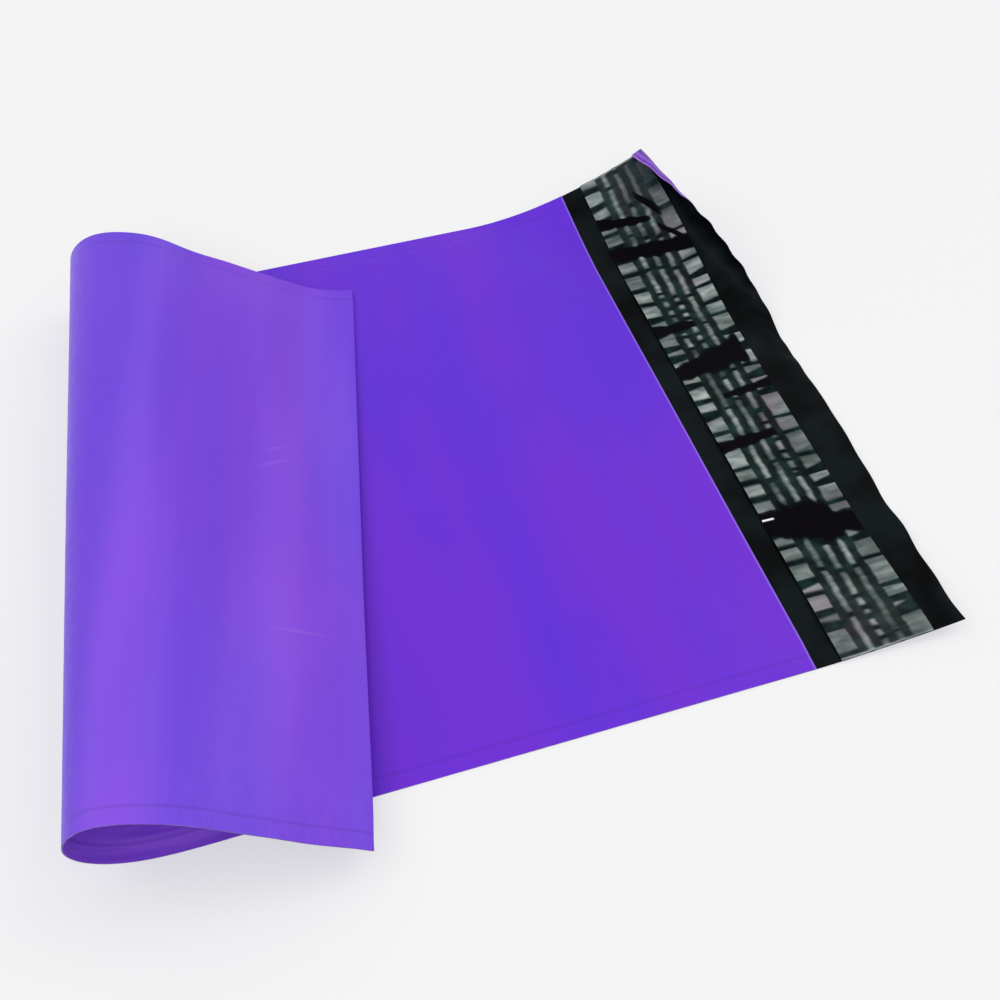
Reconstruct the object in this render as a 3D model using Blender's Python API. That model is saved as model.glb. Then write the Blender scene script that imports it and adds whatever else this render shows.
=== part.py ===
"""Poly mailer bag: one web of film folded at the bottom, welded at the sides, with a closing flap.

The bag lies on its back panel and is folded over on itself in a soft loop, so its bottom edge
comes down on its front panel. The flap lies open at the other end, with its far corner raised
and curled over. Four beads of adhesive run across the flap under a release liner.

Every piece is first built flat, with the mouth's middle at the origin, +X out over the flap and
+Y across the bag. The same bends then carry all the pieces to where they lie.
"""

import math
from dataclasses import dataclass

import bmesh
import bpy
import numpy as np
from mathutils import Matrix, Vector

# Bag, in metres
BAG_LENGTH = 0.350
BAG_WIDTH = 0.250
FLAP_DEPTH = 0.058
FILM = 0.0003
POCKET_GAP = 0.0004
SIDE_WELD = 0.005

# Closing strip on the flap
LINER_MARGIN = 0.155 * FLAP_DEPTH
LINER_DEPTH = 0.57 * FLAP_DEPTH
LINER_FILM = 0.00025
BEAD_COUNT = 4
BEAD_WIDTH = 0.0030
BEAD_PITCH = 0.0055
BEAD_HEIGHT = 0.0003
CLEARANCE = 0.0003

# Soft fold that brings the bottom of the bag over its front panel
FOLD_DISTANCE = 0.1758
FOLD_SKEW = math.radians(6.0)
LOOP_FILM = 0.1232
LOOP_PINCH = math.radians(28.9)
SETTLE_FILM = 0.040

# Raised far corner of the mouth and flap
LIFT_LENGTH = 0.078
LIFT_HEADING = math.radians(41.0)
LIFT_RADIUS = 0.067

# Curl that turns the flap's far corner over
CURL_ALONG_EDGE = 0.118
CURL_ALONG_SIDE = 0.026
CURL_RADIUS = 0.0080

# Facets
FOLD_STEP = math.radians(7.5)
LIFT_STEP = math.radians(6.0)
CURL_STEP = math.radians(20.0)
PROFILE_SAMPLES = 2001
HALVINGS = 40
ON_PLANE = 1e-6

BODY_THICKNESS = 2 * FILM + POCKET_GAP
PANEL_MIDDLE = FOLD_DISTANCE / 2
LINER_MIDDLE = LINER_MARGIN + LINER_DEPTH / 2
BEAD_BASE = FILM + CLEARANCE
LINER_BASE = BEAD_BASE + BEAD_HEIGHT + CLEARANCE


@dataclass
class Bend:
    """A bend of the flat film: the line it starts from, its heading across it, and its section."""

    start: tuple
    heading: float
    travelled: np.ndarray
    tilt: np.ndarray
    along: np.ndarray
    up: np.ndarray


def section(start, heading, travelled, tilt):
    """Integrate the film's tilt along its travel into the bend's section."""
    step = np.diff(travelled)
    middle_tilt = (tilt[1:] + tilt[:-1]) / 2
    along = np.concatenate([[0.0], np.cumsum(np.cos(middle_tilt) * step)])
    up = np.concatenate([[0.0], np.cumsum(np.sin(middle_tilt) * step)])
    return Bend(start, heading, travelled, tilt, along, up)


def eased(share):
    """Rise from 0 to 1 with no jump in slope, for a share that runs from -1 to 1."""
    share = np.clip(share, -1.0, 1.0)
    return (share + 1) / 2 + np.sin(math.pi * share) / (2 * math.pi)


def fold_section(settle_middle):
    """Section of the soft fold: round the loop past level, then level again where it settles."""
    half_loop = LOOP_FILM / 2
    travelled = np.linspace(0.0, BAG_LENGTH + BAG_WIDTH, PROFILE_SAMPLES)
    loop = (math.pi + LOOP_PINCH) * eased((travelled - half_loop) / half_loop)
    settle = LOOP_PINCH * eased((travelled - settle_middle) / (SETTLE_FILM / 2))
    heading = math.pi - FOLD_SKEW
    start = (FOLD_DISTANCE * math.cos(heading), FOLD_DISTANCE * math.sin(heading))
    return section(start, heading, travelled, loop - settle)


def fold_bend():
    """The fold whose end settles just above the front panel, found by halving the interval."""
    rest_height = 2 * BODY_THICKNESS + CLEARANCE
    low = LOOP_FILM
    high = BAG_LENGTH + BAG_WIDTH - SETTLE_FILM
    for _ in range(HALVINGS):
        middle = (low + high) / 2
        if fold_section(middle).up[-1] > rest_height:
            low = middle
        else:
            high = middle
    return fold_section(high)


def lift_bend():
    """The bend that raises the far corner."""
    start = (
        FLAP_DEPTH - LIFT_LENGTH * math.cos(LIFT_HEADING),
        BAG_WIDTH / 2 - LIFT_LENGTH * math.sin(LIFT_HEADING),
    )
    travelled = np.linspace(0.0, LIFT_LENGTH, PROFILE_SAMPLES)
    return section(start, LIFT_HEADING, travelled, travelled / LIFT_RADIUS)


def curl_bend():
    """The tight bend that rolls the flap over, along a line from its edge to its far side."""
    heading = math.atan2(CURL_ALONG_SIDE, CURL_ALONG_EDGE)
    start = (FLAP_DEPTH, BAG_WIDTH / 2 - CURL_ALONG_EDGE)
    reach = CURL_ALONG_EDGE * math.sin(heading)
    travelled = np.linspace(0.0, reach, PROFILE_SAMPLES)
    return section(start, heading, travelled, travelled / CURL_RADIUS)


def bend_points(points, bend):
    """Carry points past the bend's line along its section, each at its height over the film."""
    forward = np.array([math.cos(bend.heading), math.sin(bend.heading)])
    travel = (points[:, :2] - np.array(bend.start)) @ forward
    past = travel > 0
    inside = travel[past]
    height = points[past, 2]
    tilt = np.interp(inside, bend.travelled, bend.tilt)
    along = np.interp(inside, bend.travelled, bend.along) - height * np.sin(tilt)
    up = np.interp(inside, bend.travelled, bend.up) + height * np.cos(tilt)
    bent = points.copy()
    bent[past, :2] += (along - inside)[:, None] * forward
    bent[past, 2] = up
    return bent


def slice_at_turns(mesh, bend, step):
    """Cut the flat film along the bend's rulings, one cut for each step of its turn."""
    turned = np.concatenate([[0.0], np.cumsum(np.abs(np.diff(bend.tilt)))])
    count = max(2, math.ceil(turned[-1] / step))
    forward = Vector((math.cos(bend.heading), math.sin(bend.heading), 0.0))
    start = Vector((*bend.start, 0.0))
    for turn in np.linspace(0.0, turned[-1], count + 1):
        travel = np.interp(turn, turned, bend.travelled)
        geometry = mesh.verts[:] + mesh.edges[:] + mesh.faces[:]
        place = start + forward * travel
        bmesh.ops.bisect_plane(
            mesh, geom=geometry, plane_co=place, plane_no=forward, dist=ON_PLANE
        )


def slice_across(mesh, place, axis):
    """Cut a mesh with a plane square to one axis."""
    normal = Vector((0.0, 0.0, 0.0))
    normal[axis] = 1.0
    geometry = mesh.verts[:] + mesh.edges[:] + mesh.faces[:]
    bmesh.ops.bisect_plane(
        mesh, geom=geometry, plane_co=normal * place, plane_no=normal, dist=ON_PLANE
    )


def slab(x_range, y_range, z_range):
    """A closed box between three ranges."""
    mesh = bmesh.new()
    low = Vector((x_range[0], y_range[0], z_range[0]))
    high = Vector((x_range[1], y_range[1], z_range[1]))
    scale = Matrix.Diagonal((*(high - low), 1.0))
    bmesh.ops.create_cube(mesh, size=1.0, matrix=Matrix.Translation((low + high) / 2) @ scale)
    return mesh


def faces_at_mouth(mesh, wanted):
    """The mesh's faces in the mouth's plane whose centre passes a test."""
    return [
        face
        for face in mesh.faces
        if face.normal.x > 0 and abs(face.calc_center_median().x) < ON_PLANE
        and wanted(face.calc_center_median())
    ]


def push_faces(mesh, faces, distance):
    """Extrude faces along X, as one region, and drop the faces they leave behind."""
    result = bmesh.ops.extrude_face_region(mesh, geom=faces)
    moved = [item for item in result["geom"] if isinstance(item, bmesh.types.BMVert)]
    bmesh.ops.delete(mesh, geom=faces, context="FACES_ONLY")
    bmesh.ops.translate(mesh, verts=moved, vec=(distance, 0.0, 0.0))
    mesh.normal_update()


def body_mesh():
    """The flat bag: both panels, the flap on the back panel, and the pocket between the welds."""
    half_width = BAG_WIDTH / 2
    pocket_half = half_width - SIDE_WELD
    mesh = slab((-BAG_LENGTH, 0.0), (-half_width, half_width), (0.0, BODY_THICKNESS))
    for height in (FILM, FILM + POCKET_GAP):
        slice_across(mesh, height, 2)
    for place in (-pocket_half, pocket_half):
        slice_across(mesh, place, 1)
    mesh.normal_update()
    back_panel = faces_at_mouth(mesh, lambda centre: centre.z < FILM)
    push_faces(mesh, back_panel, FLAP_DEPTH)
    pocket = faces_at_mouth(
        mesh, lambda centre: FILM < centre.z < FILM + POCKET_GAP and abs(centre.y) < pocket_half
    )
    push_faces(mesh, pocket, FILM - BAG_LENGTH)
    return mesh


def strip_mesh(middle, depth, base, height):
    """A flat strip across the whole flap."""
    return slab(
        (middle - depth / 2, middle + depth / 2),
        (-BAG_WIDTH / 2, BAG_WIDTH / 2),
        (base, base + height),
    )


def lay_out(mesh, bends):
    """Slice a flat piece along each bend, then bend it and set it down in the part's frame."""
    for bend, step in bends:
        slice_at_turns(mesh, bend, step)
    points = np.array([vertex.co for vertex in mesh.verts])
    for bend, _ in bends:
        points = bend_points(points, bend)
    points[:, 0] += PANEL_MIDDLE
    for vertex, place in zip(mesh.verts, points):
        vertex.co = place


def principled(name, colour, roughness):
    """A plain Principled material."""
    material = bpy.data.materials.new(name)
    material.use_nodes = True
    shader = material.node_tree.nodes["Principled BSDF"]
    shader.inputs["Base Color"].default_value = (*colour, 1.0)
    shader.inputs["Roughness"].default_value = roughness
    shader.inputs["Metallic"].default_value = 0.0
    material.diffuse_color = (*colour, 1.0)
    return material


def add_object(name, mesh, bends, material, collection):
    """Bend a flat piece into place and add it as a named object."""
    lay_out(mesh, bends)
    data = bpy.data.meshes.new(name)
    mesh.to_mesh(data)
    mesh.free()
    data.materials.append(material)
    data.shade_smooth()
    data.set_sharp_from_angle(angle=math.radians(30.0))
    piece = bpy.data.objects.new(name, data)
    collection.objects.link(piece)
    return piece


def main():
    """Build the bag, its adhesive beads and its release liner."""
    for old in list(bpy.data.objects):
        bpy.data.objects.remove(old, do_unlink=True)
    collection = bpy.data.collections.new("poly_mailer_bag")
    bpy.context.scene.collection.children.link(collection)

    film = principled("violet_film", (0.17, 0.06, 0.70), 0.38)
    adhesive = principled("adhesive", (0.030, 0.034, 0.036), 0.45)
    liner = principled("release_film", (0.17, 0.19, 0.20), 0.30)

    flap_bends = [(curl_bend(), CURL_STEP), (lift_bend(), LIFT_STEP)]
    body_bends = [*flap_bends, (fold_bend(), FOLD_STEP)]
    add_object("mailer_body", body_mesh(), body_bends, film, collection)

    first_bead = LINER_MIDDLE - BEAD_PITCH * (BEAD_COUNT - 1) / 2
    for index in range(BEAD_COUNT):
        bead = strip_mesh(first_bead + index * BEAD_PITCH, BEAD_WIDTH, BEAD_BASE, BEAD_HEIGHT)
        add_object(f"adhesive_bead_{index + 1}", bead, flap_bends, adhesive, collection)

    strip = strip_mesh(LINER_MIDDLE, LINER_DEPTH, LINER_BASE, LINER_FILM)
    add_object("release_liner", strip, flap_bends, liner, collection)


main()
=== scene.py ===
"""Looks of the poly mailer bag: film, flap, adhesive and release liner, with floor, light and camera.

Every piece is laid out flat first, with the mouth's middle at the origin, +X out over the flap
and +Y across the bag. The same bends then carry it to where the frame's solids lie.
"""

import logging
import math
from dataclasses import dataclass, field
from enum import Enum

import bpy
import numpy as np
from mathutils import Euler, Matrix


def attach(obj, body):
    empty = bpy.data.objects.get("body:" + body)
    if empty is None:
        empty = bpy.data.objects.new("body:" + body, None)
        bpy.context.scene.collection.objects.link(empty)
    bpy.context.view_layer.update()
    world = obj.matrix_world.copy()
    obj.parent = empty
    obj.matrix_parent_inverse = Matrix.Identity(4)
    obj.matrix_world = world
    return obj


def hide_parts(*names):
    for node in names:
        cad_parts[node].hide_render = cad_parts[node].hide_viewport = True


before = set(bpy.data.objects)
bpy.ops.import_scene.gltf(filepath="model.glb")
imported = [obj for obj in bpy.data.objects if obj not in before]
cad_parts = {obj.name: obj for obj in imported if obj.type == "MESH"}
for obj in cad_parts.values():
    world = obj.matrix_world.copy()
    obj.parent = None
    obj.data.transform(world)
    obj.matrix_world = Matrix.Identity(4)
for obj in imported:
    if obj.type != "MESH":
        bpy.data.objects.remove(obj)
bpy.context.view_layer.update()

log = logging.getLogger("poly_mailer_bag")

BODY = "root"
PLACE = "film_place"
LIGHT = "liner_light"
MM = 0.001


class Side(Enum):
    """The material slots of a shell's mesh, in their order."""

    OUTER = 0
    INNER = 1
    RIM = 2


def smoothstep(value: np.ndarray, low: float, high: float | np.ndarray) -> np.ndarray:
    """Ease from 0 to 1 between two values.

    Args:
        value: Where to read the step.
        low: The value at which the step starts to rise.
        high: The value at which it reaches 1.

    Returns:
        The step, in the shape of value.
    """
    share = np.clip((value - low) / (high - low), 0.0, 1.0)
    return share * share * (3.0 - 2.0 * share)


@dataclass(frozen=True)
class Bend:
    """A bend of the flat film: the line it starts from, its heading across it, and its section."""

    start: tuple[float, float]
    heading: float
    travelled: np.ndarray
    tilt: np.ndarray
    along: np.ndarray
    up: np.ndarray

    @classmethod
    def from_tilt(
        cls, start: tuple[float, float], heading: float, travelled: np.ndarray, tilt: np.ndarray
    ) -> "Bend":
        """Integrate the film's tilt along its travel into a section.

        Args:
            start: A point on the line where the bend begins, in the flat film.
            heading: The direction of travel across the line, in radians from +X.
            travelled: Distances from the line, rising from 0.
            tilt: The film's slope at each distance, in radians.

        Returns:
            The bend.
        """
        step = np.diff(travelled)
        middle = (tilt[1:] + tilt[:-1]) / 2
        along = np.concatenate([[0.0], np.cumsum(np.cos(middle) * step)])
        up = np.concatenate([[0.0], np.cumsum(np.sin(middle) * step)])
        return cls(start, heading, travelled, tilt, along, up)

    def travel(self, x: np.ndarray, y: np.ndarray) -> np.ndarray:
        """Distance past the bend's line.

        Args:
            x: Places along the flat bag.
            y: Places across it.

        Returns:
            The distances, below 0 before the line.
        """
        return (x - self.start[0]) * math.cos(self.heading) + (y - self.start[1]) * math.sin(
            self.heading
        )

    def carry(self, points: np.ndarray) -> np.ndarray:
        """Carry points past the line along the section, each at its height over the film.

        Args:
            points: An array whose last axis holds x, y and height.

        Returns:
            The bent points, in the same shape.
        """
        forward = np.array([math.cos(self.heading), math.sin(self.heading)])
        travel = self.travel(points[..., 0], points[..., 1])
        past = travel > 0
        inside = travel[past]
        height = points[past][:, 2]
        tilt = np.interp(inside, self.travelled, self.tilt)
        along = np.interp(inside, self.travelled, self.along) - height * np.sin(tilt)
        up = np.interp(inside, self.travelled, self.up) + height * np.cos(tilt)
        moved = points[past]
        moved[:, :2] += (along - inside)[:, None] * forward
        moved[:, 2] = up
        bent = points.copy()
        bent[past] = moved
        return bent


@dataclass(frozen=True)
class BagShape:
    """Sizes of the flat bag and of the bends that lay it out, in metres and radians."""

    length: float = 0.350
    width: float = 0.250
    flap_depth: float = 0.058
    side_weld: float = 0.005
    solid_thickness: float = 0.001
    clearance: float = 0.0003
    fold_distance: float = 0.1758
    fold_skew: float = math.radians(6.0)
    loop_film: float = 0.1232
    loop_pinch: float = math.radians(28.9)
    settle_film: float = 0.040
    lift_length: float = 0.078
    lift_heading: float = math.radians(41.0)
    lift_radius: float = 0.067
    curl_along_edge: float = 0.118
    curl_along_side: float = 0.026
    curl_radius: float = 0.0100
    samples: int = 2001

    def fold_section(self, settle_middle: float) -> Bend:
        """Section of the soft fold: round the loop past level, then level again.

        Args:
            settle_middle: Travel at the middle of the stretch where the film levels out.

        Returns:
            The bend.
        """
        half_loop = self.loop_film / 2
        travelled = np.linspace(0.0, self.length + self.width, self.samples)
        loop = (math.pi + self.loop_pinch) * eased((travelled - half_loop) / half_loop)
        settle = self.loop_pinch * eased((travelled - settle_middle) / (self.settle_film / 2))
        heading = math.pi - self.fold_skew
        start = (self.fold_distance * math.cos(heading), self.fold_distance * math.sin(heading))
        return Bend.from_tilt(start, heading, travelled, loop - settle)

    def fold(self) -> Bend:
        """The soft fold, whose end settles just above the front panel.

        Returns:
            The bend, found by halving the interval in which the film can level out.
        """
        rest_height = 2 * self.solid_thickness + self.clearance
        low = self.loop_film
        high = self.length + self.width - self.settle_film
        for _ in range(40):
            middle = (low + high) / 2
            if self.fold_section(middle).up[-1] > rest_height:
                low = middle
            else:
                high = middle
        return self.fold_section(high)

    def lift(self) -> Bend:
        """The wide bend that raises the far corner.

        Returns:
            The bend.
        """
        start = (
            self.flap_depth - self.lift_length * math.cos(self.lift_heading),
            self.width / 2 - self.lift_length * math.sin(self.lift_heading),
        )
        travelled = np.linspace(0.0, 1.1 * self.lift_length, self.samples)
        return Bend.from_tilt(start, self.lift_heading, travelled, travelled / self.lift_radius)

    def curl(self) -> Bend:
        """The tight bend that rolls the flap's far corner over.

        Returns:
            The bend.
        """
        heading = math.atan2(self.curl_along_side, self.curl_along_edge)
        start = (self.flap_depth, self.width / 2 - self.curl_along_edge)
        travelled = np.linspace(0.0, 1.2 * self.curl_along_side, self.samples)
        return Bend.from_tilt(start, heading, travelled, travelled / self.curl_radius)


def eased(share: np.ndarray) -> np.ndarray:
    """Rise from 0 to 1 with no jump in slope.

    Args:
        share: A share that runs from -1 to 1.

    Returns:
        The eased share.
    """
    share = np.clip(share, -1.0, 1.0)
    return (share + 1) / 2 + np.sin(math.pi * share) / (2 * math.pi)


class LaidBag:
    """The bag as it lies: its shape, its bends and the soft waves that all its layers share."""

    def __init__(self, shape: BagShape) -> None:
        """Work out the bends once.

        Args:
            shape: The bag's sizes.
        """
        self.shape = shape
        self.fold = shape.fold()
        self.lift = shape.lift()
        self.curl = shape.curl()

    def place(self, points: np.ndarray) -> np.ndarray:
        """Bend flat points and set them down in the part's frame.

        Args:
            points: An array whose last axis holds x, y and height over the film.

        Returns:
            The points in the part's frame.
        """
        for bend in (self.curl, self.lift, self.fold):
            points = bend.carry(points)
        shifted = points.copy()
        shifted[..., 0] += self.shape.fold_distance / 2
        return shifted

    def wave(self, x: np.ndarray, y: np.ndarray, liner_edge: float) -> np.ndarray:
        """Height that soft waves add to every layer, over the flat film.

        The flap's free edge ripples upwards past the liner. Past the fold the film undulates in
        long rolls that run parallel to the loop, and its side edges droop a little.

        Args:
            x: Places along the flat bag.
            y: Places across it.
            liner_edge: The liner's outer edge along the flap.

        Returns:
            The added height, in metres.
        """
        size = self.shape
        ramp = np.clip((x - liner_edge) / (size.flap_depth - liner_edge), 0.0, 1.2) ** 1.5
        ripple = 0.5 + 0.30 * np.sin(2 * math.pi * y / 0.047 + 1.1)
        ripple += 0.20 * np.sin(2 * math.pi * y / 0.0287 + 0.4)
        calm = 1.0 - smoothstep(self.curl.travel(x, y), -0.006, 0.002)
        edge = 1.9 * MM * ramp * ripple * calm
        edge += 0.45 * MM * ramp * np.sin(2 * math.pi * (y + 0.4 * x) / 0.0118) * (1.0 - calm)
        near = smoothstep(-y, size.width / 2 - 0.080, size.width / 2)
        corner = 5.5 * MM * near**2 * np.clip(x / size.flap_depth, 0.0, 1.0) ** 1.5

        past = self.fold.travel(x, y)
        rolls = np.sin(2 * math.pi * (past + 0.05 * y) / 0.041 + 0.6)
        rolls += 0.6 * np.sin(2 * math.pi * (past - 0.11 * y) / 0.0265 + 2.0)
        loose = smoothstep(past, 0.045, 0.085) * (1.0 - smoothstep(past, 0.140, 0.185))
        droop = smoothstep(np.abs(y), size.width / 2 - 0.040, size.width / 2) ** 2
        droop *= smoothstep(past, 0.075, 0.125) * (1.0 - smoothstep(past, 0.135, 0.190))
        return edge + corner + 0.28 * MM * rolls * loose + 1.1 * MM * droop


@dataclass(frozen=True)
class Shell:
    """A sheet as two grids of points, one for each side, with a value for its materials."""

    outer: np.ndarray
    inner: np.ndarray
    values: dict[str, np.ndarray] = field(default_factory=dict)

    def faces(self) -> tuple[np.ndarray, np.ndarray]:
        """Quads of both sides and of the rim between them.

        Returns:
            The quads' vertex numbers, and each quad's material slot.
        """
        rows, columns = self.outer.shape[:2]
        index = np.arange(rows * columns).reshape(rows, columns)
        near, far = index[:-1, :-1], index[1:, 1:]
        left, right = index[:-1, 1:], index[1:, :-1]
        outer = np.stack([near, right, far, left], axis=-1).reshape(-1, 4)
        inner = outer[:, ::-1] + rows * columns
        loop = np.concatenate([index[0, :-1], index[:-1, -1], index[-1, :0:-1], index[:0:-1, 0]])
        following = np.roll(loop, -1)
        rim = np.stack([loop, following, following + rows * columns, loop + rows * columns], -1)
        slots = np.repeat([Side.OUTER.value, Side.INNER.value, Side.RIM.value],
                          [len(outer), len(inner), len(rim)])
        return np.concatenate([outer, inner, rim]), slots

    def build(self, name: str, materials: list[bpy.types.Material]) -> bpy.types.Object:
        """Make the shell's mesh object.

        Args:
            name: The piece's name.
            materials: Materials for the outer side, the inner side and the rim.

        Returns:
            The object, linked to the scene and riding on the bag's body.
        """
        points = np.concatenate([self.outer.reshape(-1, 3), self.inner.reshape(-1, 3)])
        quads, slots = self.faces()
        mesh = bpy.data.meshes.new(name)
        mesh.vertices.add(len(points))
        mesh.vertices.foreach_set("co", points.astype(np.float32).ravel())
        mesh.loops.add(quads.size)
        mesh.loops.foreach_set("vertex_index", quads.astype(np.int32).ravel())
        mesh.polygons.add(len(quads))
        mesh.polygons.foreach_set("loop_start", np.arange(0, quads.size, 4, dtype=np.int32))
        mesh.polygons.foreach_set("material_index", slots.astype(np.int32))
        mesh.polygons.foreach_set("use_smooth", np.ones(len(quads), dtype=bool))
        for label, value in self.values.items():
            kind = "FLOAT_VECTOR" if value.ndim == 3 else "FLOAT"
            attribute = mesh.attributes.new(label, kind, "POINT")
            flat = value.reshape(-1, 3) if value.ndim == 3 else value.ravel()
            both = np.concatenate([flat, flat]).astype(np.float32).ravel()
            attribute.data.foreach_set("vector" if value.ndim == 3 else "value", both)
        mesh.update(calc_edges=True)
        mesh.validate()
        for material in materials:
            mesh.materials.append(material)
        mesh.set_sharp_from_angle(angle=math.radians(55.0))
        piece = bpy.data.objects.new(name, mesh)
        bpy.context.scene.collection.objects.link(piece)
        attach(piece, BODY)
        return piece


class ShaderGraph:
    """One material's nodes, with short calls to add and join them."""

    def __init__(self, name: str, world: bool = False) -> None:
        """Start a material with its Principled shader, or a world with its background.

        Args:
            name: The name of the material or the world.
            world: Whether it is a world.
        """
        self.material = (bpy.data.worlds if world else bpy.data.materials).new(name)
        self.material.use_nodes = True
        self.tree = self.material.node_tree
        self.shader = self.tree.nodes["Background" if world else "Principled BSDF"]

    def add(self, kind: str, **settings: object) -> bpy.types.Node:
        """Add a node.

        Args:
            kind: The node's type, without its ShaderNode prefix.
            settings: Its properties.

        Returns:
            The node.
        """
        node = self.tree.nodes.new("ShaderNode" + kind)
        for key, value in settings.items():
            setattr(node, key, value)
        return node

    def join(self, source: object, target: object) -> None:
        """Link a socket, or set a plain value, on another socket.

        Args:
            source: An output socket, or a value.
            target: The input socket.
        """
        if isinstance(source, bpy.types.NodeSocket):
            self.tree.links.new(source, target)
        else:
            target.default_value = source

    def seen_rays(self) -> object:
        """Tell rays that show a surface from rays that light one.

        Returns:
            A socket that is 1 for camera, glossy and transmission rays.
        """
        path = self.add("LightPath")
        glossy = self.math("MAXIMUM", path.outputs["Is Glossy Ray"], path.outputs["Is Transmission Ray"])
        return self.math("MAXIMUM", path.outputs["Is Camera Ray"], glossy)

    def attribute(self, name: str) -> bpy.types.Node:
        """Read a named value of the mesh.

        Args:
            name: The attribute's name.

        Returns:
            The Attribute node.
        """
        return self.add("Attribute", attribute_name=name)

    def math(self, operation: str, first: object, second: object = 0.0) -> object:
        """Work out one number.

        Args:
            operation: The Math node's operation.
            first: Its first value or socket.
            second: Its second value or socket.

        Returns:
            The result's socket.
        """
        node = self.add("Math", operation=operation)
        self.join(first, node.inputs[0])
        self.join(second, node.inputs[1])
        return node.outputs[0]

    def scaled(self, vector: object, scale: tuple[float, float, float]) -> object:
        """Scale a vector by three factors.

        Args:
            vector: The vector's socket.
            scale: The factors.

        Returns:
            The scaled vector's socket.
        """
        node = self.add("VectorMath", operation="MULTIPLY")
        self.join(vector, node.inputs[0])
        node.inputs[1].default_value = scale
        return node.outputs[0]

    def noise(self, vector: object, scale: float, detail: float = 2.0) -> object:
        """Read soft noise.

        Args:
            vector: The coordinates' socket.
            scale: The noise's scale.
            detail: How many finer layers it adds.

        Returns:
            The socket of the noise's value, about 0.5 on the whole.
        """
        node = self.add("TexNoise")
        self.join(vector, node.inputs["Vector"])
        node.inputs["Scale"].default_value = scale
        node.inputs["Detail"].default_value = detail
        node.inputs["Roughness"].default_value = 0.5
        return node.outputs["Fac"]

    def span(
        self, value: object, low: float, high: float, to: tuple[float, float], kind: str = "SMOOTHSTEP"
    ) -> object:
        """Map a value from one span to another, and hold it at the ends.

        Args:
            value: The value's socket.
            low: Where the first span starts.
            high: Where it ends.
            to: The start and end of the second span.
            kind: How it runs between them.

        Returns:
            The mapped value's socket.
        """
        node = self.add("MapRange", interpolation_type=kind)
        self.join(value, node.inputs["Value"])
        node.inputs["From Min"].default_value = low
        node.inputs["From Max"].default_value = high
        node.inputs["To Min"].default_value = to[0]
        node.inputs["To Max"].default_value = to[1]
        return node.outputs["Result"]

    def mix(self, share: object, first: object, second: object) -> object:
        """Mix two colours.

        Args:
            share: How much of the second there is.
            first: The first colour or socket.
            second: The second colour or socket.

        Returns:
            The mixed colour's socket.
        """
        node = self.add("Mix", data_type="RGBA")
        self.join(share, node.inputs[0])
        self.join(first, node.inputs[6])
        self.join(second, node.inputs[7])
        return node.outputs[2]

    def bump(self, height: object, strength: float, distance: float) -> object:
        """Turn a height into a normal.

        Args:
            height: The height's socket.
            strength: How much of the bump shows.
            distance: The height of a value of 1, in metres.

        Returns:
            The normal's socket.
        """
        node = self.add("Bump")
        node.inputs["Strength"].default_value = strength
        node.inputs["Distance"].default_value = distance
        self.join(height, node.inputs["Height"])
        return node.outputs["Normal"]

    def set(self, **values: object) -> bpy.types.Material:
        """Set or link the shader's sockets.

        Args:
            values: Socket names, with an underscore for each space, and their values.

        Returns:
            The material.
        """
        for key, value in values.items():
            self.join(value, self.shader.inputs[key.replace("_", " ").title().replace("Ior", "IOR")])
        return self.material


def srgb(red: int, green: int, blue: int) -> tuple[float, float, float, float]:
    """Turn a colour's 8-bit display values into a linear colour.

    Args:
        red: Red, from 0 to 255.
        green: Green, from 0 to 255.
        blue: Blue, from 0 to 255.

    Returns:
        The linear colour with an alpha of 1.
    """
    display = np.array([red, green, blue]) / 255
    linear = np.where(display <= 0.04045, display / 12.92, ((display + 0.055) / 1.055) ** 2.4)
    return (*(float(value) for value in linear), 1.0)


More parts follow.
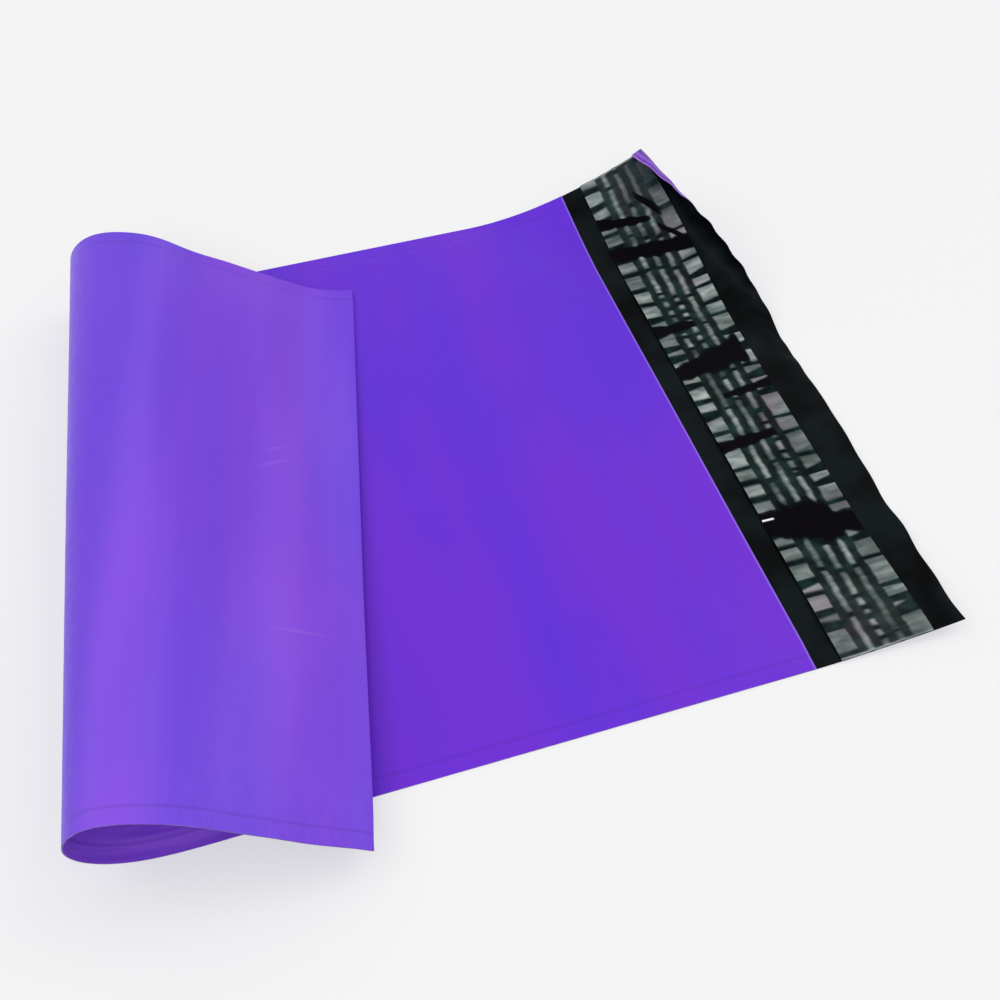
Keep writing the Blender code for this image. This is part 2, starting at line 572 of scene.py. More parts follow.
@dataclass(frozen=True)
class VioletFilm:
    """Outside of the film: soft satin violet with long bands of bluer and redder colour.

    Paler bands of painted sheen run across the stretch of the back panel that is folded over, and
    round the loop's bend the painted sheen is bluer. Inside the loop the film is painted paler, as
    light where it lies in shade. A thin painted highlight runs along the mouth's cut edge. Where
    the flap's corner rolls over it is darkened with painted shade and streaked with painted shade
    and painted highlight, and the short creases carry a faint painted highlight. A fine line and
    small ribs mark the side welds.
    """

    blue_violet: tuple = srgb(87, 34, 204)
    red_violet: tuple = srgb(103, 33, 199)
    # Painted sheen: paler violets for the folded-over stretch, and a bluer one round the loop's bend.
    sheen_blue: tuple = srgb(112, 71, 215)
    sheen_red: tuple = srgb(137, 77, 219)
    bend_sheen_blue: tuple = srgb(94, 60, 205)
    # Painted light inside the loop, where the film lies in shade.
    loop_inside_light: tuple = srgb(152, 92, 226)
    # Painted highlight along the mouth's cut edge.
    lit_cut_edge: tuple = srgb(132, 96, 214)
    # Painted highlight for the creases and the rolled corner's pale streaks.
    highlight_lilac: tuple = srgb(178, 122, 214)
    # Painted shade over the flap's rolled corner.
    roll_shade: tuple = srgb(86, 26, 150)
    # Dark violet for the rolled corner's painted shade streaks and for the weld's seam line.
    shade_and_seam: tuple = srgb(46, 10, 84)
    band_scale: float = 30.0
    cloud_scale: float = 9.0
    edge_width: float = 0.0005
    # Where the painted sheen starts and ends along the film.
    sheen_from: float = 0.335
    sheen_to: float = 0.560
    # Where the rolled corner's painted shade and highlight streaks start.
    roll_paint_from: float = 0.728
    bend_at: float = 0.447
    loop_from: float = 0.165
    loop_to: float = 0.305
    weld_at: float = 0.1196
    rib_pitch: float = 0.0016
    creases: tuple = (
        (0.3834, 0.0185, 2.62, 0.0090, 0.0011),
        (0.3822, 0.0262, 2.58, 0.0066, 0.0009),
        (0.3727, -0.0530, 3.09, 0.0140, 0.0010),
    )

    def material(self) -> bpy.types.Material:
        """Build the film's material.

        Returns:
            The material.
        """
        graph = ShaderGraph("violet_film")
        place = graph.attribute(PLACE).outputs["Vector"]
        bands = graph.noise(graph.scaled(place, (1.0, 0.10, 1.0)), self.band_scale, 2.0)
        clouds = graph.noise(place, self.cloud_scale, 2.0)
        share = graph.math("ADD", graph.math("MULTIPLY", bands, 0.6), graph.math("MULTIPLY", clouds, 0.4))
        redness = graph.span(share, 0.34, 0.66, (0.0, 1.0))
        hue = graph.mix(redness, self.blue_violet, self.red_violet)
        # Painted sheen colour, following the film's own bluer and redder bands.
        sheen_colour = graph.mix(redness, self.sheen_blue, self.sheen_red)
        along = graph.add("SeparateXYZ")
        graph.join(place, along.inputs[0])
        travelled = along.outputs["X"]
        folded = graph.math(
            "MULTIPLY",
            graph.span(travelled, self.sheen_from, self.sheen_from + 0.02, (0.0, 1.0)),
            graph.span(travelled, self.sheen_to - 0.05, self.sheen_to, (1.0, 0.0)),
        )
        # Round the loop's bend the painted sheen is bluer and strong.
        bluer = graph.math(
            "MULTIPLY",
            graph.span(travelled, self.bend_at - 0.018, self.bend_at - 0.004, (0.0, 0.75)),
            graph.span(travelled, self.bend_at + 0.004, self.bend_at + 0.030, (1.0, 0.0)),
        )
        sheen_colour = graph.mix(bluer, sheen_colour, self.bend_sheen_blue)
        wide = graph.noise(graph.scaled(place, (1.0, 0.12, 1.0)), 26.0, 2.0)
        # How strong the painted sheen is, in wide soft bands.
        sheen_share = graph.math("MULTIPLY", folded, graph.span(wide, 0.36, 0.66, (0.42, 0.95)))
        sheen_share = graph.math("MAXIMUM", sheen_share, graph.math("MULTIPLY", bluer, 0.9))
        # Painted light inside the loop, in streaks along it.
        in_loop = graph.math(
            "MULTIPLY",
            graph.span(travelled, self.loop_from, self.loop_from + 0.025, (0.0, 1.0)),
            graph.span(travelled, self.loop_to, self.loop_to + 0.025, (1.0, 0.0)),
        )
        lines = graph.noise(graph.scaled(place, (0.07, 1.0, 1.0)), 240.0, 2.0)
        in_loop = graph.math("MULTIPLY", in_loop, graph.span(lines, 0.34, 0.66, (0.45, 1.0)))
        hue = graph.mix(in_loop, hue, self.loop_inside_light)
        # Painted highlight in a thin band along the mouth's cut edge.
        edge = graph.span(travelled, self.edge_width, self.edge_width * 1.6, (0.8, 0.0))
        colour = graph.mix(edge, graph.mix(sheen_share, hue, sheen_colour), self.lit_cut_edge)
        # Painted shade over the flap's rolled corner, streaked with painted highlight and painted shade.
        outer_flap = graph.span(travelled, self.roll_paint_from, self.roll_paint_from + 0.008, (0.0, 1.0))
        roll_streak_noise = graph.noise(graph.scaled(place, (1.0, 0.035, 1.0)), 560.0, 2.0)
        highlight_streaks = graph.math("MULTIPLY", outer_flap, graph.span(roll_streak_noise, 0.48, 0.64, (0.0, 0.55)))
        shade_streaks = graph.math("MULTIPLY", outer_flap, graph.span(roll_streak_noise, 0.36, 0.50, (0.55, 0.0)))
        colour = graph.mix(graph.math("MULTIPLY", outer_flap, 0.6), colour, self.roll_shade)
        colour = graph.mix(shade_streaks, graph.mix(highlight_streaks, colour, self.highlight_lilac), self.shade_and_seam)
        aside = graph.math("ABSOLUTE", along.outputs["Y"])
        weld_line = graph.math(
            "MULTIPLY",
            graph.span(aside, self.weld_at - 0.0009, self.weld_at, (0.0, 1.0)),
            graph.span(aside, self.weld_at, self.weld_at + 0.0009, (1.0, 0.0)),
        )
        # The weld's seam line is a little darker: the seam's own colour.
        colour = graph.mix(graph.math("MULTIPLY", weld_line, 0.16), colour, self.shade_and_seam)
        ribs = graph.math("SINE", graph.math("MULTIPLY", travelled, 2 * math.pi / self.rib_pitch))
        ribs = graph.math("MULTIPLY", ribs, graph.span(aside, self.weld_at, self.weld_at + 0.0006, (0.0, 1.0)))
        crease = self.crease_height(graph, place)
        # Faint painted highlight along the creases' ridges.
        colour = graph.mix(graph.math("MULTIPLY", crease, 0.14), colour, self.highlight_lilac)
        fine = graph.noise(graph.scaled(place, (1.0, 0.35, 1.0)), 420.0, 3.0)
        drawn = graph.noise(graph.scaled(place, (0.06, 1.0, 1.0)), 260.0, 1.0)
        height = graph.math("ADD", fine, graph.math("MULTIPLY", drawn, 0.6))
        height = graph.math("ADD", height, graph.math("MULTIPLY", crease, 12.0))
        height = graph.math("ADD", height, graph.math("MULTIPLY", weld_line, -4.0))
        height = graph.math("ADD", height, graph.math("MULTIPLY", ribs, 0.8))
        return graph.set(
            base_color=colour,
            roughness=graph.span(fine, 0.3, 0.7, (0.38, 0.48)),
            specular_ior_level=0.25,
            sheen_weight=0.06,
            sheen_roughness=0.30,
            sheen_tint=(0.85, 0.75, 1.0, 1.0),
            normal=graph.bump(height, 0.25, 0.00006),
        )

    def crease_height(self, graph: ShaderGraph, place: object) -> object:
        """Add up the short soft creases in the folded-over film.

        Each crease is a thin ellipse with a centre, a turn and two half widths.

        Args:
            graph: The material's nodes.
            place: The socket of the film's flat coordinates.

        Returns:
            A socket that is 1 on a crease's ridge and 0 away from the creases.
        """
        total: object = 0.0
        for along, across, turn, half_length, half_width in self.creases:
            local = graph.add("Mapping", vector_type="TEXTURE")
            graph.join(place, local.inputs["Vector"])
            local.inputs["Location"].default_value = (along, across, 0.0)
            local.inputs["Rotation"].default_value = (0.0, 0.0, turn)
            local.inputs["Scale"].default_value = (half_length, half_width, 1.0)
            distance = graph.add("VectorMath", operation="LENGTH")
            graph.join(local.outputs[0], distance.inputs[0])
            ridge = graph.span(distance.outputs["Value"], 0.0, 1.0, (1.0, 0.0))
            total = graph.math("ADD", ridge, total)
        return total


@dataclass(frozen=True)
class BlackFilm:
    """Inside of the film: near-black, with soft cool grey-green patches of painted reflection; glossier than
    the outside.
    """

    black: tuple = srgb(3, 4, 5)
    grey: tuple = srgb(14, 21, 23)

    def material(self) -> bpy.types.Material:
        """Build the inner side's material.

        Returns:
            The material.
        """
        graph = ShaderGraph("black_film")
        place = graph.attribute(PLACE).outputs["Vector"]
        # Soft grey-green patches of painted reflection on the near-black film.
        soft = graph.noise(place, 45.0, 2.0)
        fine = graph.noise(graph.scaled(place, (1.0, 0.4, 1.0)), 420.0, 2.0)
        swell = graph.noise(graph.scaled(place, (0.6, 1.0, 1.0)), 110.0, 1.0)
        height = graph.math("ADD", graph.math("MULTIPLY", swell, 6.0), fine)
        return graph.set(
            base_color=graph.mix(graph.span(soft, 0.35, 0.65, (0.0, 1.0)), self.black, self.grey),
            roughness=graph.span(fine, 0.3, 0.7, (0.30, 0.38)),
            specular_ior_level=0.04,
            normal=graph.bump(height, 0.30, 0.00008),
        )


@dataclass(frozen=True)
class CutEdge:
    """The film's cut rim, a thin line of violet over black that catches the light."""

    pale: tuple = srgb(146, 112, 196)
    dark: tuple = srgb(52, 38, 88)

    def material(self) -> bpy.types.Material:
        """Build the rim's material.

        Returns:
            The material.
        """
        graph = ShaderGraph("lit_cut_edge")
        place = graph.attribute(PLACE).outputs["Vector"]
        # Pale flecks of painted highlight over the rim's own dark colour.
        edge_glints = graph.noise(place, 300.0, 2.0)
        colour = graph.mix(graph.span(edge_glints, 0.35, 0.65, (0.0, 1.0)), self.pale, self.dark)
        return graph.set(base_color=colour, roughness=0.45)


@dataclass(frozen=True)
class ReleaseFilm:
    """The release liner: dark where glue wets it; pale grey where it stands off the flap, partly its own grey
    and partly painted reflection.
    """

    pressed: tuple = srgb(4, 2, 5)
    wet: tuple = srgb(7, 16, 17)
    wet_green: tuple = srgb(18, 42, 41)
    dull: tuple = srgb(98, 113, 111)
    bright: tuple = srgb(172, 180, 177)
    warm: tuple = srgb(140, 130, 138)
    # Painted highlight colour for the glint on the liner near its inner edge.
    glint: tuple = srgb(252, 232, 240)

    def material(self) -> bpy.types.Material:
        """Build the liner's material.

        Returns:
            The material.
        """
        graph = ShaderGraph("release_film")
        place = graph.attribute(PLACE).outputs["Vector"]
        light = graph.attribute(LIGHT).outputs["Fac"]
        streaks = graph.noise(graph.scaled(place, (0.30, 1.0, 1.0)), 330.0, 2.0)
        broad = graph.noise(place, 38.0, 1.0)
        patchy = graph.noise(place, 130.0, 2.0)
        # Pale liner colour in streaks across the strip, partly painted reflection in its puckers.
        grey = graph.mix(graph.span(streaks, 0.25, 0.78, (0.0, 1.0)), self.dull, self.bright)
        tinted = graph.mix(graph.span(broad, 0.52, 0.66, (0.0, 0.7)), grey, self.warm)
        wet = graph.mix(graph.span(patchy, 0.42, 0.70, (0.0, 1.0)), self.wet, self.wet_green)
        dark = graph.mix(graph.span(light, -0.7, 0.1, (1.0, 0.0)), wet, self.pressed)
        lit = graph.mix(graph.span(light, 0.0, 1.0, (0.0, 1.0), "LINEAR"), dark, tinted)
        return graph.set(
            # Above 1 the light value turns to the painted glint highlight.
            base_color=graph.mix(graph.span(light, 1.1, 1.9, (0.0, 1.0)), lit, self.glint),
            roughness=graph.span(light, 0.0, 1.0, (0.22, 0.34)),
            specular_ior_level=0.03,
            normal=graph.bump(streaks, 0.4, 0.00012),
        )


@dataclass(frozen=True)
class Adhesive:
    """The pressure-sensitive adhesive: dark, wet and slightly uneven."""

    dark: tuple = srgb(10, 18, 19)
    pale: tuple = srgb(30, 40, 40)

    def material(self) -> bpy.types.Material:
        """Build the adhesive's material.

        Returns:
            The material.
        """
        graph = ShaderGraph("adhesive")
        place = graph.attribute(PLACE).outputs["Vector"]
        lumps = graph.noise(place, 260.0, 2.0)
        return graph.set(
            base_color=graph.mix(graph.span(lumps, 0.35, 0.65, (0.0, 1.0)), self.dark, self.pale),
            roughness=0.18,
            specular_ior_level=0.15,
            normal=graph.bump(lumps, 0.6, 0.0001),
        )


@dataclass(frozen=True)
class PaleFloor:
    """The plain pale surface that the bag lies on, shown at an even level with a soft shadow."""

    colour: tuple = srgb(235, 235, 235)
    shown: tuple = srgb(242, 242, 243)
    even_share: float = 0.56

    def material(self) -> bpy.types.Material:
        """Build the floor's material.

        Returns:
            The material.
        """
        graph = ShaderGraph("pale_floor")
        seen = graph.seen_rays()
        even = graph.add("Emission")
        even.inputs["Color"].default_value = self.shown
        choose = graph.add("MixShader")
        graph.join(graph.math("MULTIPLY", seen, self.even_share), choose.inputs[0])
        graph.join(graph.shader.outputs[0], choose.inputs[1])
        graph.join(even.outputs[0], choose.inputs[2])
        graph.join(choose.outputs[0], graph.tree.nodes["Material Output"].inputs["Surface"])
        return graph.set(base_color=self.colour, roughness=0.9, specular_ior_level=0.1)


@dataclass(frozen=True)
class FilmWeb:
    """The bag's film: front panel, bottom fold, back panel and flap in one sheet."""

    bag: LaidBag
    film: float = 0.00015
    panel_height: float = 0.00060
    puff: float = 0.00035
    open_puff: float = 0.0012
    weld_height: float = 0.00034
    panel_rows: int = 150
    fold_rows: int = 6
    flap_rows: int = 60
    columns: int = 127
    edge_wander: float = 0.0007
    near_taper: float = 0.0038

    def sections(self) -> tuple[np.ndarray, np.ndarray, np.ndarray]:
        """Rows of the web from the mouth round the bottom to the flap's edge.

        Returns:
            Each row's place along the flat bag, the turn of its outward normal from straight
            up, and its distance along the web.
        """
        size = self.bag.shape
        panel = np.linspace(0.0, size.length, self.panel_rows)
        turn = np.linspace(0.0, math.pi, self.fold_rows + 2)[1:-1]
        flap = np.linspace(0.0, size.flap_depth, self.flap_rows)[1:]
        x = np.concatenate([-panel, np.full(len(turn), -size.length), panel - size.length, flap])
        turns = np.concatenate([np.zeros(len(panel)), turn, np.full(len(panel) + len(flap), math.pi)])
        travelled = np.concatenate(
            [panel, size.length + turn * MM / 10, panel + size.length + MM, flap + 2 * size.length + MM]
        )
        return x, turns, travelled

    def front_height(self, x: np.ndarray, y: np.ndarray) -> np.ndarray:
        """Height of the front panel's outside over the back panel's outside.

        The panels are pressed together in the side welds. Between them the front panel stands
        off a little, most in the bare stretch next to the mouth, where it swells softly.

        Args:
            x: Places along the flat bag.
            y: Places across it.

        Returns:
            The heights, in metres.
        """
        size = self.bag.shape
        inside = size.width / 2 - np.abs(y)
        free = smoothstep(inside, 0.4 * size.side_weld, 2.2 * size.side_weld)
        swell = 0.5 + 0.25 * np.sin(2 * math.pi * (x + 0.35 * y) / 0.083 + 0.7)
        swell += 0.25 * np.sin(2 * math.pi * (y - 0.25 * x) / 0.112 + 2.1)
        bare = smoothstep(x, -0.098, -0.060) * (1.0 - smoothstep(x, -0.030, -0.002))
        bare *= smoothstep(inside, 0.008, 0.050)
        loose = self.panel_height + self.puff * swell + self.open_puff * swell * bare
        return self.weld_height + (loose - self.weld_height) * free

    def shell(self, liner_edge: float) -> Shell:
        """Both sides of the web, laid out.

        Args:
            liner_edge: The liner's outer edge along the flap.

        Returns:
            The web's shell.
        """
        size = self.bag.shape
        rows, turns, travelled = self.sections()
        columns = np.linspace(-size.width / 2, size.width / 2, self.columns)
        x, y = np.meshgrid(rows, columns, indexing="ij")
        turn = np.broadcast_to(turns[:, None], x.shape)
        wander = np.sin(2 * math.pi * y / 0.061 + 0.3) + 0.7 * np.sin(2 * math.pi * y / 0.023 + 1.9)
        free_edge = np.clip((x - liner_edge) / (size.flap_depth - liner_edge), 0.0, 1.0)
        taper = self.near_taper * smoothstep(-y, 0.020, size.width / 2)
        x = x - (self.edge_wander * (1.0 + 0.5 * wander) + taper) * free_edge
        half = self.front_height(x, y) / 2
        wave = self.bag.wave(x, y, liner_edge)
        sides = []
        for depth in (0.0, self.film):
            radius = half - depth
            height = half + radius * np.cos(turn) + wave
            sides.append(self.bag.place(np.stack([x - radius * np.sin(turn), y, height], axis=-1)))
        place = np.stack([np.broadcast_to(travelled[:, None], x.shape), y, np.zeros_like(y)], axis=-1)
        return Shell(sides[0], sides[1], {PLACE: place})


@dataclass(frozen=True)
class Patch:
    """A dark patch across the liner, where it is pressed flat onto the flap.

    It crosses the strip's middle at place and leans by slant. It runs over the strip from start
    to stop, and half its length goes from near_half to far_half on the way.
    """

    place: float
    slant: float
    near_half: float
    far_half: float
    start: float = -0.0175
    stop: float = 0.0175
    softness: float = 0.0008

    def cover(self, across: np.ndarray, y: np.ndarray) -> np.ndarray:
        """Read how far the patch covers each place.

        Args:
            across: Places over the strip's depth, from its middle.
            y: Places across the bag.

        Returns:
            1 inside the patch, falling to 0 round it.
        """
        share = np.clip((across - self.start) / (self.stop - self.start), 0.0, 1.0)
        half = self.near_half + (self.far_half - self.near_half) * share
        ragged = half * (1.0 + 0.14 * np.sin(across / 0.0021 + self.place * 90))
        ragged = ragged + 0.00015 * np.sin(across / 0.0008 + self.place * 300)
        lengthwise = np.abs(y - self.place - self.slant * across) / ragged
        beyond = np.maximum(self.start - across, across - self.stop)
        ends = 1.0 - smoothstep(beyond, -self.softness, self.softness)
        return (1.0 - smoothstep(lengthwise, 0.62, 1.20)) * ends


@dataclass(frozen=True)
class Dashes:
    """A row of pale dashes along the liner, with dark gaps between them.

    The dashes have uneven lengths, levels and gaps. Where dot is above 0, runs of them are short
    dots of about that length. Each dash's paleness is painted reflection on its dome, brightest near
    its middle and brighter towards one end.
    """

    seed: int
    shortest: float
    longest: float
    gap: float
    dimmest: float
    dot: float = 0.0

    def read(self, across: np.ndarray, y: np.ndarray, width: float) -> np.ndarray:
        """Read the paleness of the row, as if it filled the whole strip.

        Args:
            across: Places over the strip's depth, from its middle.
            y: Places across the bag.
            width: The bag's width.

        Returns:
            The paleness, from 0 in a gap to about 1.
        """
        random = np.random.default_rng(self.seed)
        count = int(width / (self.dot or self.shortest)) + 3
        lengths = random.uniform(self.shortest, self.longest, count)
        dotted = (self.dot > 0) & (np.sin(0.42 * np.arange(count) + self.seed) > 0.1)
        lengths = np.where(dotted, self.dot * random.uniform(0.85, 1.2, count), lengths)
        ends = np.cumsum(lengths) - width / 2 - self.longest
        leans = random.uniform(-0.16, 0.30, count)
        index = np.clip(np.searchsorted(ends, y), 1, count - 1)
        start = ends[index - 1] + leans[index - 1] * across
        stop = ends[index] + leans[index] * across
        half = (self.gap * random.uniform(0.45, 1.35, count))[index]
        share = np.clip((y - start) / (stop - start), 0.0, 1.0)
        tilt = random.uniform(-0.75, 0.55, count)[index]
        # Painted reflection on each dash's dome: brightest near its middle, brighter towards one end.
        shade = 0.70 + 0.26 * np.sin(math.pi * share) + tilt * (share - 0.5)
        level = random.uniform(self.dimmest, 1.0, count)[index]
        inside = np.minimum(y - start, stop - y)
        return level * shade * smoothstep(inside, 0.45 * half, 1.25 * half)


@dataclass(frozen=True)
class LinerPattern:
    """Where the release liner looks pale and where it looks dark.

    Across the strip, two wide free bands stand off the flap and show pale. Between them run the
    dark lines of the beads, with thin pale lines in the spaces. Every pale band is broken along
    the strip into uneven dashes, and a few dark patches cross the strip. The paleness is partly the
    dry liner's own grey and partly painted reflection.
    """

    bead_places: tuple[float, ...]
    bead_width: float
    depth: float
    rows: tuple[Dashes, ...] = (
        Dashes(3, 0.0052, 0.0112, 0.0015, 0.62),
        Dashes(14, 0.0110, 0.0260, 0.0011, 0.45, dot=0.0048),
        Dashes(25, 0.0100, 0.0220, 0.0011, 0.50, dot=0.0045),
        Dashes(36, 0.0120, 0.0300, 0.0011, 0.50, dot=0.0052),
        Dashes(47, 0.0050, 0.0125, 0.0013, 0.52),
    )
    patches: tuple[Patch, ...] = (
        Patch(0.0982, -0.30, 0.0030, 0.0012, stop=0.0050),
        Patch(0.1142, -1.60, 0.0020, 0.0026, start=0.0035, stop=0.0100),
        Patch(0.1010, -1.30, 0.0012, 0.0018, start=0.0075, stop=0.0160),
        Patch(0.0825, -0.22, 0.0036, 0.0034),
        Patch(0.0386, 0.06, 0.0036, 0.0016, stop=0.0010),
        Patch(0.0166, 0.24, 0.0034, 0.0078, stop=0.0140),
        Patch(-0.0026, 0.10, 0.0014, 0.0022, start=-0.0040),
        Patch(-0.0262, 0.10, 0.0030, 0.0018, stop=0.0070),
        Patch(-0.0700, -0.24, 0.0062, 0.0052),
        Patch(-0.0690, -0.24, 0.0086, 0.0092, start=-0.0075, stop=0.0090),
    )

    def read(self, across: np.ndarray, y: np.ndarray, width: float) -> tuple[np.ndarray, np.ndarray]:
        """Paleness and loose height over the strip.

        Args:
            across: Places over the strip's depth, from its middle.
            y: Places across the bag.
            width: The bag's width.

        Returns:
            The paleness, from -1 in a dark patch through 0 where the liner is wetted to 1, and how
            far the liner stands off the flap, from 0 to 1.
        """
        beads = np.array(self.bead_places)
        ragged = across + 0.00014 * np.sin(y / 0.0021) + 0.00012 * np.sin(y / 0.00083 + across / 0.002)
        distance = np.abs(ragged[..., None] - beads).min(axis=-1)
        row = np.searchsorted(beads, ragged)
        line = (row > 0) & (row < len(beads))
        dry_from = np.where(line, 0.84, 0.60) * self.bead_width
        glued = 1.0 - smoothstep(distance, 0.36 * self.bead_width, dry_from)
        dashes = np.choose(row, [dash.read(across, y, width) for dash in self.rows])
        pale = np.where(line, 0.98, 1.0) * dashes**1.6
        corner = smoothstep(y, 0.098, 0.116) * smoothstep(across, 0.002, 0.009)
        pale = pale * (1.0 - 0.98 * glued) * (1.0 - 0.72 * corner)
        dry = smoothstep(np.abs(y + 0.005), 0.082, 0.112)
        pale = pale + glued * (0.01 + 0.05 * dry) + 0.03 * dry * (1.0 - glued)
        covers = [patch.cover(across, y) for patch in self.patches]
        pressed = np.clip(np.max(covers, axis=0), 0.0, 1.0)
        pale = np.clip(pale, 0.0, 1.0) * (1.0 - pressed) - pressed
        return pale, np.clip(dashes, 0.0, 1.0) * (1.0 - glued) * (1.0 - pressed)


@dataclass(frozen=True)
class ReleaseLiner:
    """The strip of release film over the beads, puckered between them."""

    bag: LaidBag
    middle: float
    depth: float
    beads: tuple[float, ...]
    bead_width: float
    base: float = 0.00055
    film: float = 0.00008
    dome: float = 0.00045
    stand_off: float = 0.00020
    rows: int = 84
    columns: int = 560
    glint_place: float = -0.0640
    glint_half: float = 0.0006

    def shell(self) -> Shell:
        """Both sides of the liner, laid out over the flap.

        Returns:
            The liner's shell.
        """
        width = self.bag.shape.width
        across = np.linspace(-self.depth / 2, self.depth / 2, self.rows)
        columns = np.linspace(-width / 2, width / 2, self.columns)
        across, y = np.meshgrid(across, columns, indexing="ij")
        pattern = LinerPattern(self.beads, self.bead_width, self.depth)
        pale, loose = pattern.read(across, y, width)
        edge = smoothstep(np.abs(across), 0.25 * self.depth, 0.5 * self.depth)
        x = self.middle + across
        top = self.base + self.film + self.dome * loose + self.stand_off * edge
        top = top + self.bag.wave(x, y, self.middle + self.depth / 2)
        outer = self.bag.place(np.stack([x, y, top], axis=-1))
        inner = self.bag.place(np.stack([x, y, top - self.film], axis=-1))
        end = 1.0 - smoothstep(width / 2 - np.abs(y), 0.0003, 0.0007)
        # Painted highlight: a thin glint across the liner near its inner edge.
        streak = 1.0 - smoothstep(np.abs(y - self.glint_place) / self.glint_half, 0.6, 1.3)
        streak = streak * (1.0 - smoothstep(across + self.depth / 2, 0.0042, 0.0052))
        light = pale + (0.9 - pale) * end
        light = light + (2.0 - light) * streak
        place = np.stack([x, y, np.zeros_like(y)], axis=-1)
        return Shell(outer[:, ::-1], inner[:, ::-1], {
            PLACE: place[:, ::-1],
            LIGHT: light[:, ::-1],
        })


@dataclass(frozen=True)
class AdhesiveBead:
    """One bead of adhesive: a low rounded strip across the flap."""

    bag: LaidBag
    middle: float
    width: float
    base: float = 0.00018
    height: float = 0.00036
    rows: int = 9
    columns: int = 200

    def shell(self) -> Shell:
        """Both sides of the bead, laid out over the flap.

        Returns:
            The bead's shell, with an uneven edge.
        """
        span = self.bag.shape.width
        across = np.linspace(-1.0, 1.0, self.rows)
        columns = np.linspace(-span / 2, span / 2, self.columns)
        across, y = np.meshgrid(across, columns, indexing="ij")
        spread = 1.0 + 0.10 * np.sin(y / 0.0031 + self.middle * 900)
        x = self.middle + across * self.width / 2 * spread
        crown = np.sqrt(np.clip(1.0 - across**2, 0.0, 1.0))
        liner_edge = self.bag.shape.flap_depth
        wave = self.bag.wave(x, y, liner_edge)
        top = self.base + 0.00002 + self.height * crown + wave
        outer = self.bag.place(np.stack([x, y, top], axis=-1))
        inner = self.bag.place(np.stack([x, y, np.full_like(x, self.base) + wave], axis=-1))
        place = np.stack([x, y, np.zeros_like(y)], axis=-1)
        return Shell(outer[:, ::-1], inner[:, ::-1], {PLACE: place[:, ::-1]})


@dataclass(frozen=True)
class Strip:
    """Places of the liner and the beads on the flat flap."""

    margin: float = 0.009
    depth: float = 0.033
    bead_count: int = 4
    bead_width: float = 0.0030
    bead_pitch: float = 0.0055

    @property
    def middle(self) -> float:
        """The strip's middle along the flap."""
        return self.margin + self.depth / 2

    def bead_offsets(self) -> tuple[float, ...]:
        """Places of the beads from the strip's middle.

        Returns:
            The offsets, rising.
        """
        first = -self.bead_pitch * (self.bead_count - 1) / 2
        return tuple(first + self.bead_pitch * index for index in range(self.bead_count))


class Mailer:
    """The whole bag: it builds each piece and gives it its finish."""

    def __init__(self) -> None:
        """Set the bag's shape and its closing strip."""
        self.bag = LaidBag(BagShape())
        self.strip = Strip()

    def build(self) -> None:
        """Build the film, the adhesive beads and the release liner."""
        film = [VioletFilm().material(), BlackFilm().material(), CutEdge().material()]
        web = FilmWeb(self.bag).shell(self.strip.middle + self.strip.depth / 2)
        body = web.build("mailer_film", film)
        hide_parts("mailer_body")

        glue = [Adhesive().material()] * 3
        for number, offset in enumerate(self.strip.bead_offsets(), start=1):
            bead = AdhesiveBead(self.bag, self.strip.middle + offset, self.strip.bead_width)
            piece = bead.shell().build(f"glue_bead_{number}", glue)
            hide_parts(f"adhesive_bead_{number}")

        release = [ReleaseFilm().material()] * 3
        liner = ReleaseLiner(
            self.bag, self.strip.middle, self.strip.depth, self.strip.bead_offsets(), self.strip.bead_width
        )
        piece = liner.shell().build("liner_strip", release)
        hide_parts("release_liner")
        log.info("built the bag's pieces")


@dataclass(frozen=True)
class Lamp:
    """One soft rectangular light, aimed at a point."""

    name: str
    place: tuple[float, float, float]
    aim: tuple[float, float, float]
    size: tuple[float, float]
    power: float

    def build(self) -> None:
        """Add the light to the scene."""
        data = bpy.data.lights.new(self.name, "AREA")
        data.shape = "RECTANGLE"
        data.size, data.size_y = self.size
        data.energy = self.power
        lamp = bpy.data.objects.new(self.name, data)
        lamp.location = self.place
        direction = np.array(self.aim) - np.array(self.place)
        across = math.hypot(direction[0], direction[1])
        lamp.rotation_euler = Euler(
            (math.atan2(across, -direction[2]), 0.0, math.atan2(-direction[0], direction[1]))
        )
        bpy.context.scene.collection.objects.link(lamp)


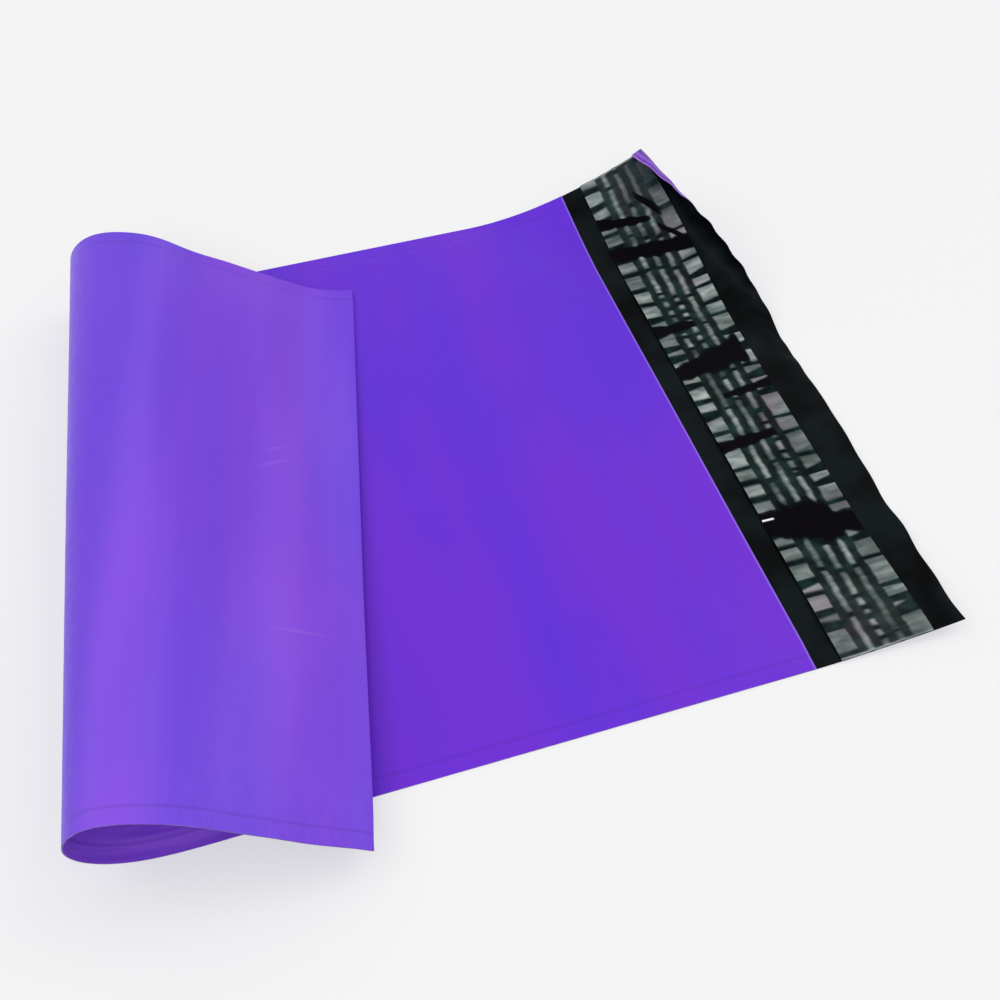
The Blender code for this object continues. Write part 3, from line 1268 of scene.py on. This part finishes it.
@dataclass(frozen=True)
class Studio:
    """Floor, light and camera."""

    floor_half: float = 12.0
    world_level: float = 0.78
    backdrop: tuple = srgb(243, 243, 243)
    camera_place: tuple[float, float, float] = (-0.0756, -0.2971, 0.3528)
    camera_yaw: float = math.radians(17.61)
    camera_pitch: float = math.radians(51.08)
    focal_pixels: float = 1246.5
    frame_pixels: float = 1000.0
    sensor: float = 36.0

    def floor(self) -> None:
        """Add the floor just under the bag."""
        half = self.floor_half
        mesh = bpy.data.meshes.new("floor")
        corners = [(-half, -half, 0.0), (half, -half, 0.0), (half, half, 0.0), (-half, half, 0.0)]
        mesh.from_pydata(corners, [], [(0, 1, 2, 3)])
        mesh.materials.append(PaleFloor().material())
        floor = bpy.data.objects.new("floor", mesh)
        floor.location.z = -0.0001
        bpy.context.scene.collection.objects.link(floor)

    def world(self) -> None:
        """Light the scene evenly, and show the pale backdrop to the camera."""
        graph = ShaderGraph("studio", world=True)
        graph.shader.inputs["Strength"].default_value = self.world_level
        seen = graph.add("Background")
        seen.inputs["Color"].default_value = self.backdrop
        choose = graph.add("MixShader")
        graph.join(graph.seen_rays(), choose.inputs[0])
        graph.join(graph.shader.outputs[0], choose.inputs[1])
        graph.join(seen.outputs[0], choose.inputs[2])
        graph.join(choose.outputs[0], graph.tree.nodes["World Output"].inputs["Surface"])
        graph.set(color=(1.0, 1.0, 1.0, 1.0))
        bpy.context.scene.world = graph.material

    def lamps(self) -> None:
        """Add the key light on the right, and weak fills from the left and the front."""
        Lamp("key", (2.4, 0.6, 2.8), (0.0, 0.0, 0.0), (1.8, 1.8), 21.0).build()
        Lamp("left_fill", (-2.6, 0.6, 2.4), (0.0, 0.0, 0.0), (1.8, 1.8), 21.0).build()
        Lamp("front_fill", (-0.6, -2.1, 2.0), (-0.1, -0.1, 0.0), (1.0, 1.0), 19.0).build()

    def camera(self) -> None:
        """Add the camera at the photograph's viewpoint."""
        data = bpy.data.cameras.new("camera")
        data.sensor_fit = "HORIZONTAL"
        data.sensor_width = self.sensor
        data.lens = self.sensor * self.focal_pixels / self.frame_pixels
        data.clip_start = 0.01
        camera = bpy.data.objects.new("camera", data)
        camera.location = self.camera_place
        camera.rotation_euler = Euler((math.pi / 2 - self.camera_pitch, 0.0, -self.camera_yaw))
        bpy.context.scene.collection.objects.link(camera)
        bpy.context.scene.camera = camera

    def build(self) -> None:
        """Build the studio."""
        self.floor()
        self.world()
        self.lamps()
        self.camera()
        bpy.context.scene.view_settings.view_transform = "Standard"


def main() -> None:
    """Build the bag and the studio."""
    logging.basicConfig(level=logging.INFO)
    Mailer().build()
    Studio().build()


if __name__ == "__main__":
    main()
